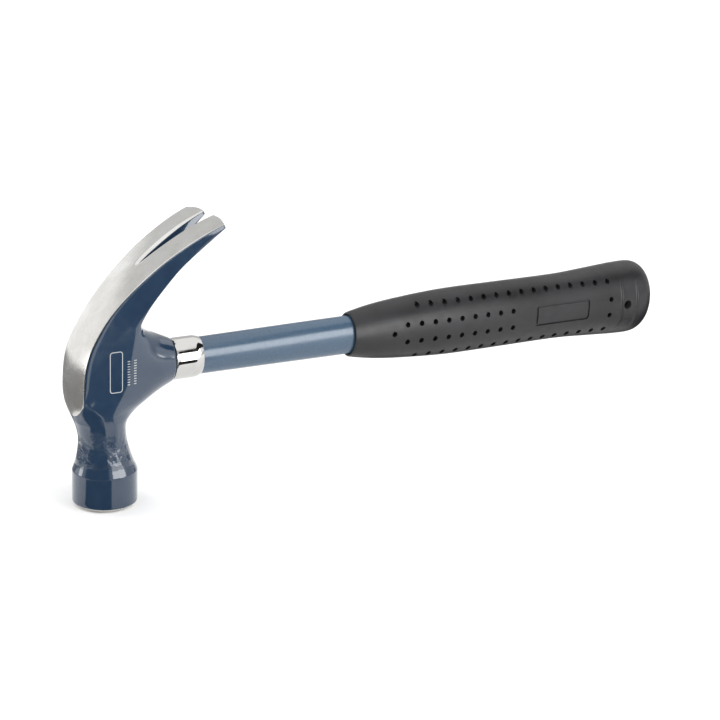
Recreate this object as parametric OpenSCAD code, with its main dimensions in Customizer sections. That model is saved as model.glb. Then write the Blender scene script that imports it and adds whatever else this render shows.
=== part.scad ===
// Claw hammer: a forged steel head on an oval steel tube, with a ferrule at the eye
// and a rubber grip moulded over the tail of the tube.
// The origin is the centre of the striking face. +Z runs from the face up to the claws,
// +X runs along the handle to the butt, and Y is the hammer's thickness.

/* [Head] */
// Height of the handle's centre line above the striking face
axis_z = 63.8; // [56:0.1:77]
// Diameter of the bell
bell_d = 29.5; // [24:0.1:36]
// Height of the bell's straight side, bevel included
bell_h = 17; // [13:0.5:21]
// Bevel round the striking face
face_bevel = 1.6; // [0.8:0.1:2.5]
// Diameter of the neck at its waist
neck_d = 22; // [18:0.1:24]
// Width across the flat cheeks
cheek_w = 25; // [20:0.1:30]
// Distance from the bell's axis to the crest of the polished front
front_x = 16.8; // [14:0.1:20]
// Radius across the polished front, which makes it slightly crowned
crown_r = 60; // [45:1:80]
// Thickness of the body from the polished front back to the throat
body_t = 31; // [26:0.5:34]
// Thickness of the claws where they leave the body
claw_t = 21; // [18:0.5:22]

/* [Claws] */
// Width across the claw tips
claw_w = 38.2; // [32:0.1:46]
// Radius of the lower bend, beside the eye
low_bend_r = 59.3; // [52:0.1:66]
// Angle that the lower bend turns through
low_bend_turn = 43; // [38:1:46]
// Radius of the upper bend, along the claws
high_bend_r = 176; // [150:1:200]
// Angle that the upper bend turns through
high_bend_turn = 20; // [16:1:23]
// Radius of the hollow under the claws
hollow_r = 110; // [95:1:130]
// Radius of the throat between the claws and the eye
throat_r = 5.6; // [4:0.1:7]
// Thickness of the claws at their tips
tip_t = 1; // [0.6:0.1:2]
// Length of the nail slot
slot_len = 40; // [30:0.5:46]
// Width of the nail slot at the tips
slot_w = 9; // [7:0.1:11]
// Width of the nail slot at its closed end
slot_end_w = 1.4; // [1:0.1:2.5]

/* [Eye] */
// Distance from the bell's axis to the mouth of the eye
eye_x = 31.4; // [27:0.1:38]
// Depth of the blind socket for the tube
socket_depth = 36; // [28:0.5:43]
// Wall of the head round the mouth of the eye
eye_wall = 1.7; // [1.2:0.1:2.4]

/* [Tube] */
// Height of the oval tube in the head
tube_h = 17.3; // [14:0.1:21]
// Width of the oval tube in the head
tube_w = 12.6; // [10:0.1:15.2]
// How much the tube swells between the ferrule and the grip, as a ratio
tube_swell = 1.1; // [1:0.01:1.2]
// Wall of the tube
tube_wall = 1.5; // [1:0.1:2.2]

/* [Ferrule] */
// Length of the ferrule
ferrule_len = 14.6; // [11:0.1:18]
// Length of its tapered shoulder
shoulder_len = 4.6; // [3:0.1:6]
// Wall of the ferrule
ferrule_wall = 1.25; // [0.8:0.05:1.6]
// Shadow gap between the head and the ferrule
ferrule_gap = 0.3; // [0:0.05:0.6]

/* [Grip] */
// Distance from the bell's axis to the end of the butt
reach = 310.5; // [262:0.5:373]
// Length of the grip
grip_len = 184.5; // [160:0.5:200]
// Height of the grip's mouth
mouth_h = 21.8; // [21.4:0.1:26]
// Height of the grip along its middle
hold_h = 33.9; // [29:0.1:41]
// Height of the flared butt
butt_h = 38.9; // [34:0.1:47]
// Width of the grip as a ratio of its height
grip_oval = 0.75; // [0.68:0.01:0.9]
// Length of the swell behind the mouth
swell_len = 62; // [40:1:75]
// Length of the flare before the butt
flare_len = 54; // [40:1:70]
// Length of the rounded end
round_len = 11.5; // [8:0.5:16]
// Solid rubber behind the end of the tube
butt_solid = 30.5; // [28:0.5:38]
// Diameter of the hang hole
hang_d = 3.6; // [3:0.1:6]
// Distance from the end of the butt to the hang hole
hang_from_end = 20.5; // [18:0.1:24]

/* [Plugs] */
// Length of the plug that locks the tube in the socket
lock_plug_len = 20; // [14:0.5:24]
// Length of the plug that closes the tail of the tube
tail_plug_len = 12; // [8:0.5:20]

/* [Hidden] */
$fn = 96;
// Overlap that keeps joined volumes and cuts from sharing a face
eps = 0.01;
// Sides of the oval sections
oval_sides = 40;

// The tube's outline: straight through the head and ferrule, then swelling to the grip
socket_x = eye_x - socket_depth;
ferrule_x = eye_x + ferrule_gap;
ferrule_end = ferrule_x + ferrule_len;
grip_x = reach - grip_len;
tube_end = reach - butt_solid;
hang_x = reach - hang_from_end;
bore_h = tube_h - 2 * tube_wall;
bore_w = tube_w - 2 * tube_wall;

// The eye's rim, and the throat that clears it
rim_h = tube_h + 2 * eye_wall;
rim_w = tube_w + 2 * eye_wall;
rim_land = 1;
throat_rise = 5.6;
throat_z = rim_h / 2 + throat_rise;
// Distance from the bell's axis to the front wall of the throat
throat_front = 13.8;

// Landmarks of the head in the side view, measured from the handle's centre line
bend_low = -9.8;
body_low = bend_low - 4.2;
low_centre = [low_bend_r - front_x, bend_low];
high_start = low_centre + low_bend_r * [-cos(low_bend_turn), sin(low_bend_turn)];
high_centre = high_start + high_bend_r * [cos(low_bend_turn), -sin(low_bend_turn)];
tip_turn = low_bend_turn + high_bend_turn;
tip = high_centre + high_bend_r * [-cos(tip_turn), sin(tip_turn)];
// Where the claws are thickest, and the slope of the hollow there
hollow_from_throat = [11.2, 11.7];
hollow_start = [throat_r, throat_z] + hollow_from_throat;
hollow_slope = 60;
hollow_centre = hollow_start + hollow_r * [sin(hollow_slope), -cos(hollow_slope)];
throat_centre = [throat_r + throat_front, throat_z + throat_r];
body_back = body_t - front_x;
// The flat cheeks end here and then draw in by this much at the back of the body
cheek_end = 5;
cheek_draw = 1.9;
// The eye's root reaches this far below the handle's centre line
eye_drop = 18;
// The neck meets the body over this stretch
neck_waist_z = 31;
neck_top_z = 39;
bell_shoulder = 5;
shoulder_rise = 2;
shoulder_break = [0.6, 1.5];
neck_grow = 3;
body_inset = 1;
// The eye's root is a thin slab inside the body
root_t = 1;
// Bevel on the underside of the tips
tip_bevel_len = 9;
tip_bevel_angle = 24;

// A number that eases from one value to another as t goes from 0 to 1
function ease(from, to, t) = from + (to - from) * (1 - cos(180 * t)) / 2;

// A number that starts quickly and settles
function settle(from, to, t) = from + (to - from) * (1 - (1 - t) * (1 - t));

// One oval ring of a handle section: station = [x, height, width]
function oval_ring(station) =
    [for (i = [0:oval_sides - 1]) let (a = 360 * i / oval_sides)
        [station[0], station[2] / 2 * cos(a), axis_z + station[1] / 2 * sin(a)]];

// A closed solid through oval sections along the handle's centre line
module oval_loft(stations) {
    last = len(stations) - 1;
    rings = [for (s = stations) each oval_ring(s)];
    start_cap = [for (i = [0:oval_sides - 1]) i];
    end_cap = [for (i = [oval_sides - 1:-1:0]) last * oval_sides + i];
    sides = [for (s = [0:last - 1], i = [0:oval_sides - 1])
        let (j = (i + 1) % oval_sides, a = s * oval_sides, b = (s + 1) * oval_sides)
        [a + i, b + i, b + j, a + j]];
    polyhedron(points = rings, faces = concat([start_cap], sides, [end_cap]));
}

// The tube's straight section between two places
module tube_prism(from, to) {
    oval_loft([[from, tube_h, tube_w], [to, tube_h, tube_w]]);
}

// The stations of the tube, with its outline reduced by a given amount
function tube_stations(less) = [
    [socket_x, tube_h - less, tube_w - less],
    [ferrule_end, tube_h - less, tube_w - less],
    [grip_x, tube_h * tube_swell - less, tube_w * tube_swell - less],
    [tube_end, tube_h * tube_swell - less, tube_w * tube_swell - less]
];

// Lays a side-view outline in the XZ plane, a given width across
module side_slab(width) {
    translate([0, width / 2, axis_z]) rotate([90, 0, 0]) linear_extrude(width) children();
}

// A bend of the crowned front: turns about a centre given in the side view
module crowned_bend(centre, r, from, to, width, depth) {
    translate([centre[0], 0, axis_z + centre[1]]) rotate([90, 0, 0]) rotate([0, 0, from])
        rotate_extrude(angle = to - from)
            intersection() {
                translate([r - crown_r, 0]) circle(crown_r);
                translate([r - depth, -width / 2]) square([depth + 1, width]);
            }
}

// Bell and neck, turned about Z
module bell_and_neck() {
    r = bell_d / 2;
    waist = neck_d / 2;
    shoulder_r = r - bell_shoulder / 2;
    neck_low = bell_h + shoulder_rise;
    rise = neck_waist_z - neck_low;
    neck = [for (i = [0:8]) [ease(shoulder_r, waist, i / 8), neck_low + rise * i / 8]];
    rotate_extrude()
        polygon(concat(
            [[0, 0], [r - face_bevel, 0], [r, face_bevel]],
            [[r, bell_h - shoulder_break[1]], [r - shoulder_break[0], bell_h]],
            neck,
            [[waist, neck_top_z], [0, neck_top_z]]
        ));
}

// The stretch where the round neck grows into the body
module neck_blend() {
    low = axis_z + body_low;
    hull() {
        translate([0, 0, neck_waist_z + neck_grow]) cylinder(h = root_t, d = neck_d, $fn = 32);
        translate([0, 0, neck_top_z]) cylinder(h = root_t, d = neck_d + neck_grow, $fn = 32);
        translate([body_inset - front_x, body_inset - cheek_w / 2, low])
            cube([body_t - 2 * body_inset, cheek_w - 2 * body_inset, root_t]);
    }
}

// The body beside the eye, with the lower bend of the crowned front
module body() {
    intersection() {
        crowned_bend(low_centre, low_bend_r, 180 - low_bend_turn, 190, cheek_w, body_t + 8);
        side_slab(cheek_w + 2) body_outline();
        body_plan();
    }
}

// Plan of the body: flat cheeks that draw in towards the eye
module body_plan() {
    half = cheek_w / 2;
    back = half - cheek_draw;
    linear_extrude(3 * axis_z)
        polygon([
            [-2 * front_x, -half], [cheek_end, -half], [body_back + eps, -back],
            [body_back + eps, back], [cheek_end, half], [-2 * front_x, half]
        ]);
}

// Side outline that the body keeps to
module body_outline() {
    left = -front_x - 1;
    translate([left, body_low]) square([body_back - left, high_start[1] - body_low + 4]);
}

// The open space between the claws and the eye, in the side view
module throat_outline() {
    far = tip[0] + 40;
    intersection() {
        translate(hollow_centre) circle(hollow_r, $fn = 240);
        translate([0, throat_centre[1]]) square([far, far]);
    }
    translate(throat_centre) circle(throat_r);
    translate([throat_centre[0], throat_z]) square([far, throat_r + eps]);
}

// The two claws as one blade, before the nail slot is cut
module claw_blade() {
    wide = claw_w + 2;
    flare_start = high_start[0];
    half = cheek_w / 2;
    half_tip = claw_w / 2;
    difference() {
        intersection() {
            crowned_bend(high_centre, high_bend_r, 180 - tip_turn, 180 - low_bend_turn, wide, claw_t);
            linear_extrude(3 * axis_z)
                polygon([
                    [-2 * front_x, -half], [flare_start, -half], [tip[0], -half_tip],
                    [tip[0] + 5, -half_tip], [tip[0] + 5, half_tip],
                    [tip[0], half_tip], [flare_start, half], [-2 * front_x, half]
                ]);
        }
        tip_bevel(wide + 2);
    }
}

// Bevel that thins the underside of the claws to a chisel edge
module tip_bevel(width) {
    crest_drop = crown_r - sqrt(crown_r * crown_r - claw_w * claw_w / 4);
    side_slab(width)
        translate(tip) rotate(90 - tip_turn)
            polygon([
                [1, -crest_drop - tip_t],
                [0, -crest_drop - tip_t],
                [-tip_bevel_len, -crest_drop - tip_t - tip_bevel_len * tan(tip_bevel_angle)],
                [-tip_bevel_len, -40],
                [1, -40]
            ]);
}

// The V of the nail slot, cut square to the claws
module nail_slot() {
    slot_turn = slot_len / high_bend_r * 180 / PI;
    root = high_centre + high_bend_r * [-cos(tip_turn - slot_turn), sin(tip_turn - slot_turn)];
    run = tip - root;
    past = 1.2;
    translate([root[0], 0, axis_z + root[1]]) rotate([0, -atan2(run[1], run[0]), 0])
        translate([0, 0, -body_t]) linear_extrude(2 * body_t) {
            circle(d = slot_end_w);
            polygon([
                [0, -slot_end_w / 2], [past * slot_len, -nail_half(past)],
                [past * slot_len, nail_half(past)], [0, slot_end_w / 2]
            ]);
        }
}

// Half the nail slot's width at a share of its length
function nail_half(share) = (slot_end_w + (slot_w - slot_end_w) * share) / 2;

// The eye: the body narrows to an oval rim, and its top line runs down from the throat
module eye_boss() {
    rim_x = eye_x - rim_land;
    fall = (throat_z - rim_h / 2) / (rim_x - throat_centre[0]);
    root_top = rim_h / 2 + fall * (rim_x - cheek_end - root_t);
    hull() {
        translate([cheek_end, -cheek_w / 2 + eps, axis_z - eye_drop])
            cube([root_t, cheek_w - 2 * eps, eye_drop + root_top]);
        oval_loft([[rim_x, rim_h, rim_w], [eye_x, rim_h, rim_w]]);
    }
}

// Head: one forging with a blind socket and a nail slot
module head() {
    color([0.25, 0.35, 0.47])
        difference() {
            union() {
                bell_and_neck();
                neck_blend();
                body();
                claw_blade();
                eye_boss();
            }
            side_slab(claw_w + 4) throat_outline();
            nail_slot();
            tube_prism(socket_x, eye_x + 1);
        }
}

// Oval steel tube, seated on the bottom of the socket
module shaft_tube() {
    color([0.36, 0.47, 0.6])
        difference() {
            oval_loft(tube_stations(0));
            oval_loft(tube_bore());
        }
}

// The tube's bore, open at both ends
function tube_bore() =
    let (s = tube_stations(2 * tube_wall))
    [[s[0][0] - 1, s[0][1], s[0][2]], s[1], s[2], [s[3][0] + 1, s[3][1], s[3][2]]];

// Ferrule: a plated collar with a tapered shoulder
module ferrule() {
    outer_h = tube_h + 2 * ferrule_wall;
    outer_w = tube_w + 2 * ferrule_wall;
    end_h = tube_h + 0.8;
    end_w = tube_w + 0.8;
    color([0.85, 0.85, 0.84])
        difference() {
            oval_loft([
                [ferrule_x, outer_h - 0.6, outer_w - 0.6],
                [ferrule_x + 0.4, outer_h, outer_w],
                [ferrule_end - shoulder_len, outer_h, outer_w],
                [ferrule_end - shoulder_len / 2, outer_h - 0.5, outer_w - 0.5],
                [ferrule_end, end_h, end_w]
            ]);
            tube_prism(ferrule_x - 1, ferrule_end + 1);
        }
}

// The grip's outline: a quick swell, a long hold, a flared butt and a rounded end
function grip_stations() =
    let (flare_x = reach - round_len - flare_len, round_x = reach - round_len)
    concat(
        [for (i = [0:8]) let (h = settle(mouth_h, hold_h, i / 8))
            [grip_x + swell_len * i / 8, h, h * mix_oval(i / 8)]],
        [for (i = [0:6]) let (h = ease(hold_h, butt_h, i / 6))
            [flare_x + flare_len * i / 6, h, h * grip_oval]],
        [for (i = [1:6]) let (a = 84 * i / 6, h = butt_h * cos(a))
            [round_x + round_len * sin(a), h, h * grip_oval]],
        [[reach, butt_h * cos(88), butt_h * cos(88) * grip_oval]]
    );

// The grip is as oval as the tube at its mouth, and fuller along the hold
function mix_oval(t) = ease(tube_w / tube_h, grip_oval, t);

// Grip: rubber moulded over the tube, with a hang hole through the solid butt
module grip() {
    swell_h = tube_h * tube_swell;
    swell_w = tube_w * tube_swell;
    color([0.3, 0.3, 0.31])
        difference() {
            oval_loft(grip_stations());
            oval_loft([[grip_x - 1, swell_h, swell_w], [tube_end, swell_h, swell_w]]);
            translate([hang_x, 0, axis_z]) rotate([90, 0, 0])
                cylinder(h = 2 * butt_h, d = hang_d, center = true);
        }
}

// Lock plug: fills the tube where the socket grips it
module lock_plug() {
    color([0.6, 0.6, 0.58])
        oval_loft([
            [socket_x, bore_h, bore_w],
            [socket_x + lock_plug_len - 2, bore_h, bore_w],
            [socket_x + lock_plug_len, bore_h - 3, bore_w - 3]
        ]);
}

// Tail plug: closes the tube inside the grip
module tail_plug() {
    h = tube_h * tube_swell - 2 * tube_wall;
    w = tube_w * tube_swell - 2 * tube_wall;
    color([0.12, 0.12, 0.12])
        oval_loft([
            [tube_end - tail_plug_len, h - 2, w - 2],
            [tube_end - tail_plug_len + 1, h, w],
            [tube_end, h, w]
        ]);
}

head();
shaft_tube();
ferrule();
grip();
lock_plug();
tail_plug();
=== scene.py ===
"""Builds the claw hammer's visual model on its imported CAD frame.

Every piece is a class that holds its sizes in millimetres and grows its mesh
in the frame's own axes: the striking face lies at the origin, the claws stand
towards +Z, and the handle runs along +X.
"""

import logging
import math
from collections.abc import Sequence
from dataclasses import dataclass
from enum import Enum

import bmesh
import bpy
from mathutils import Matrix, Vector


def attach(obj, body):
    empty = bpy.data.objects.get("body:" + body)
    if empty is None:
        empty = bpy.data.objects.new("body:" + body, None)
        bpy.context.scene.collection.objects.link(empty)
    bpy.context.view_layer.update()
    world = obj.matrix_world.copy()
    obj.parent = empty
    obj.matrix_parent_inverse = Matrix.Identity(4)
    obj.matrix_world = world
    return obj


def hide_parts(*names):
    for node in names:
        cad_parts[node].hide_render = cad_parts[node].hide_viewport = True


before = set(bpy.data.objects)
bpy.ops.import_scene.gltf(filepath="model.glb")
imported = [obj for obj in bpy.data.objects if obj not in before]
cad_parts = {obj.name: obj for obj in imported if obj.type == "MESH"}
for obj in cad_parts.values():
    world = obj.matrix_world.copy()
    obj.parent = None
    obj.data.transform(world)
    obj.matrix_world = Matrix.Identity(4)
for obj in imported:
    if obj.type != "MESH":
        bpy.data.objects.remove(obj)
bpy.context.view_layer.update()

BODY = "root"
MM = 0.001
AXIS_Z = 63.8
EYE_X = 31.4
COLUMNS = 8
CARD_LIFT = 0.8
BLACK = 0.03

Colour = tuple[float, float, float, float]
Pair = tuple[float, float]
Triple = tuple[float, float, float]
BMesh = bmesh.types.BMesh
BMVert = bmesh.types.BMVert
Rows = list[list[BMVert]]
Thing = bpy.types.Object
Material = bpy.types.Material

log = logging.getLogger("claw_hammer")


class Side(Enum):
    """The two broad sides of the hammer, by the sign of Y."""

    NEAR = -1
    FAR = 1


class Skin(Enum):
    """The head's finishes, in the order of its material slots."""

    PAINT = 0
    STEEL = 1
    FOOT = 2


def place(x: float, y: float, z: float) -> Vector:
    """Gives a point in metres from its millimetres."""
    return Vector((x, y, z)) * MM


def swell(step: float) -> float:
    """Gives how far out control points go, so that the rounded ring is true."""
    return 6 / (4 + 2 * math.cos(step))


# --- mesh helpers ---


def grow(
    bm: BMesh, chain: Sequence[BMVert], places: Sequence[Vector], closed: bool = False
) -> list[BMVert]:
    """Extrudes a chain of vertices and sets the copies down at new places.

    Args:
        bm: The mesh that grows.
        chain: The vertices along the open edge, in order.
        places: One place for each copy, in metres.
        closed: Whether the chain runs round to its first vertex.

    Returns:
        The copies, in the chain's order.
    """
    ends = list(chain[1:]) + ([chain[0]] if closed else [])
    edges = [bm.edges.get((a, b)) for a, b in zip(chain, ends)]
    made = bmesh.ops.extrude_edge_only(bm, edges=edges)["geom"]
    fresh = {v for v in made if isinstance(v, BMVert)}
    copies = [
        next(e.other_vert(v) for e in v.link_edges if e.other_vert(v) in fresh)
        for v in chain
    ]
    for copy, spot in zip(copies, places):
        copy.co = spot
    return copies


def crease(bm: BMesh, chain: Sequence[BMVert], amount: float) -> None:
    """Keeps the edges along a chain of vertices crisp under subdivision.

    Args:
        bm: The mesh.
        chain: The vertices along the edge, in order.
        amount: The crease, from 0 for soft to 1 for sharp.
    """
    layer = bm.edges.layers.float.get("crease_edge")
    if layer is None:
        layer = bm.edges.layers.float.new("crease_edge")
    for a, b in zip(chain, chain[1:]):
        edge = bm.edges.get((a, b))
        if edge is not None:
            edge[layer] = amount


def finish_mesh(bm: BMesh, name: str, merge: float = 1e-6) -> Thing:
    """Merges doubles, turns the faces outwards and makes the smooth object.

    Args:
        bm: The mesh, which is freed.
        name: The object's name.
        merge: How close two vertices are that become one, in metres.

    Returns:
        The object, linked to the scene at the origin.
    """
    bmesh.ops.remove_doubles(bm, verts=bm.verts[:], dist=merge)
    bmesh.ops.recalc_face_normals(bm, faces=bm.faces[:])
    for face in bm.faces:
        face.smooth = True
    mesh = bpy.data.meshes.new(name)
    bm.to_mesh(mesh)
    bm.free()
    thing = bpy.data.objects.new(name, mesh)
    bpy.context.scene.collection.objects.link(thing)
    return thing


def crease_rings(bm: BMesh, rings: Rows, amount: float) -> None:
    """Keeps whole rings of edges crisp."""
    for ring in rings:
        crease(bm, [*ring, ring[0]], amount)


def subdivide(thing: Thing, levels: int) -> None:
    """Adds a Subdivision Surface that renders as it is shown."""
    modifier = thing.modifiers.new("rounding", "SUBSURF")
    modifier.levels = modifier.render_levels = levels


def bake_modifiers(thing: Thing) -> None:
    """Replaces an object's mesh with the one its modifiers make.

    Args:
        thing: The object.
    """
    graph = bpy.context.evaluated_depsgraph_get()
    graph.update()
    baked = bpy.data.meshes.new_from_object(thing.evaluated_get(graph))
    thing.modifiers.clear()
    thing.data = baked


def pour(tool: BMesh, bm: BMesh) -> None:
    """Adds a finished tool to the cutters' mesh.

    Args:
        tool: The tool's mesh, which is freed.
        bm: The mesh that takes it.
    """
    mesh = bpy.data.meshes.new("tool")
    tool.to_mesh(mesh)
    tool.free()
    bm.from_mesh(mesh)
    bpy.data.meshes.remove(mesh)


@dataclass(frozen=True)
class Oval:
    """One upright oval section of the handle.

    Attributes:
        x: Its place along the handle.
        height: Its size along Z.
        width: Its size along Y.
    """

    x: float
    height: float
    width: float

    def points(self, count: int) -> list[Vector]:
        """Gives the section's control points, from the top round past +Y.

        Args:
            count: How many points go round.

        Returns:
            The places in metres, grown so that the rounded surface is true.
        """
        out = swell(math.tau / count)
        return [
            place(
                self.x,
                out * self.width / 2 * math.sin(math.tau * k / count),
                AXIS_Z + out * self.height / 2 * math.cos(math.tau * k / count),
            )
            for k in range(count)
        ]


@dataclass
class Sleeve:
    """A closed shell along the handle, grown from one oval to the next."""

    ovals: tuple[Oval, ...]
    sides: int = 40
    ring_shaped: bool = True

    def shell(self) -> tuple[BMesh, Rows]:
        """Grows the shell from a circle.

        Returns:
            The mesh and its rings of vertices.
        """
        bm = bmesh.new()
        start = bmesh.ops.create_circle(bm, segments=self.sides, radius=1.0)["verts"]
        for vertex, spot in zip(start, self.ovals[0].points(self.sides)):
            vertex.co = spot
        rings = [start]
        for oval in self.ovals[1:]:
            rings.append(grow(bm, rings[-1], oval.points(self.sides), closed=True))
        open_edges = [e for e in bm.edges if e.is_boundary]
        if self.ring_shaped:
            bmesh.ops.bridge_loops(bm, edges=open_edges)
        else:
            bmesh.ops.holes_fill(bm, edges=open_edges)
        return bm, rings


# --- materials ---


class Mix:
    """A material's nodes, with short calls to add and join them."""

    def __init__(self, name: str) -> None:
        """Starts a material with a shader, an output and Object coordinates.

        Args:
            name: The material's name.
        """
        self.material = bpy.data.materials.new(name)
        self.material.use_nodes = True
        self.tree = self.material.node_tree
        self.tree.nodes.clear()
        self.shader = self.node("BsdfPrincipled")
        output = self.node("OutputMaterial")
        self.tree.links.new(self.shader.outputs[0], output.inputs[0])
        self.spot = self.node("TexCoord").outputs["Object"]

    def node(self, kind: str) -> bpy.types.ShaderNode:
        """Adds a node of a kind, such as Math."""
        return self.tree.nodes.new("ShaderNode" + kind)

    def feed(self, socket: bpy.types.NodeSocket, value: object) -> None:
        """Links a socket to another, or sets its own value.

        Args:
            socket: The socket that takes the value.
            value: Another socket, or a number or colour.
        """
        if isinstance(value, bpy.types.NodeSocket):
            self.tree.links.new(value, socket)
        else:
            socket.default_value = value

    def dress(self, **values: object) -> None:
        """Sets the shader's sockets, named with underscores for spaces."""
        for name, value in values.items():
            self.feed(self.shader.inputs[name.replace("_", " ")], value)

    def sum(self, kind: str, *values: object) -> object:
        """Adds a Math node and gives its result.

        Args:
            kind: The operation, such as ADD.
            values: Its inputs, as numbers or sockets.

        Returns:
            The result's socket.
        """
        node = self.node("Math")
        node.operation = kind
        for socket, value in zip(node.inputs, values):
            self.feed(socket, value)
        return node.outputs[0]

    def apart(self, first: object, second: object) -> object:
        """Gives how far apart two values are."""
        return self.sum("ABSOLUTE", self.sum("SUBTRACT", first, second))

    def axes(self) -> tuple[object, object, object]:
        """Gives the sockets of the point's X, Y and Z in metres.

        Returns:
            The three sockets.
        """
        node = self.node("SeparateXYZ")
        self.feed(node.inputs[0], self.spot)
        return node.outputs[0], node.outputs[1], node.outputs[2]

    def stretched(self, *scale: float) -> object:
        """Gives the point's socket, scaled along X, Y and Z.

        Args:
            scale: The three scales.

        Returns:
            The mapped point's socket.
        """
        node = self.node("Mapping")
        self.feed(node.inputs["Vector"], self.spot)
        node.inputs["Scale"].default_value = scale
        return node.outputs[0]

    def noise(
        self, scale: float, detail: float = 3.0, rough: float = 0.5, at: object = None
    ) -> object:
        """Adds a Noise Texture and gives its value.

        Args:
            scale: How many patches fill a metre.
            detail: How many finer layers it has.
            rough: How strong the finer layers are.
            at: The point's socket, or None for Object coordinates.

        Returns:
            The value's socket.
        """
        node = self.node("TexNoise")
        self.feed(node.inputs["Vector"], at or self.spot)
        node.inputs["Scale"].default_value = scale
        node.inputs["Detail"].default_value = detail
        node.inputs["Roughness"].default_value = rough
        return node.outputs[0]

    def span(
        self, value: object, low: float, high: float, first: float = 0, last: float = 1
    ) -> object:
        """Maps a value's range smoothly onto another and holds it there.

        Args:
            value: The socket to map.
            low: The value that gives first.
            high: The value that gives last.
            first: The result at and below low.
            last: The result at and above high.

        Returns:
            The result's socket.
        """
        node = self.node("MapRange")
        node.interpolation_type = "SMOOTHSTEP"
        for socket, number in zip(node.inputs, (value, low, high, first, last)):
            self.feed(socket, number)
        return node.outputs[0]

    def blend(self, share: object, first: object, second: object) -> object:
        """Mixes two colours and gives the result.

        Args:
            share: How much of the second shows, from 0 to 1.
            first: The first colour or its socket.
            second: The second colour or its socket.

        Returns:
            The mixed colour's socket.
        """
        node = self.node("Mix")
        node.data_type = "RGBA"
        self.feed(node.inputs[0], share)
        self.feed(node.inputs[6], first)
        self.feed(node.inputs[7], second)
        return node.outputs[2]

    def relief(self, height: object, depth: float, below: object = None) -> object:
        """Adds a Bump node and gives its normal.

        Args:
            height: The height's socket, from 0 to 1.
            depth: How far 1 stands proud of 0, in metres.
            below: The normal of a coarser relief under this one.

        Returns:
            The normal's socket.
        """
        node = self.node("Bump")
        node.inputs["Distance"].default_value = depth
        self.feed(node.inputs["Height"], height)
        if below is not None:
            self.feed(node.inputs["Normal"], below)
        return node.outputs[0]


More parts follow.
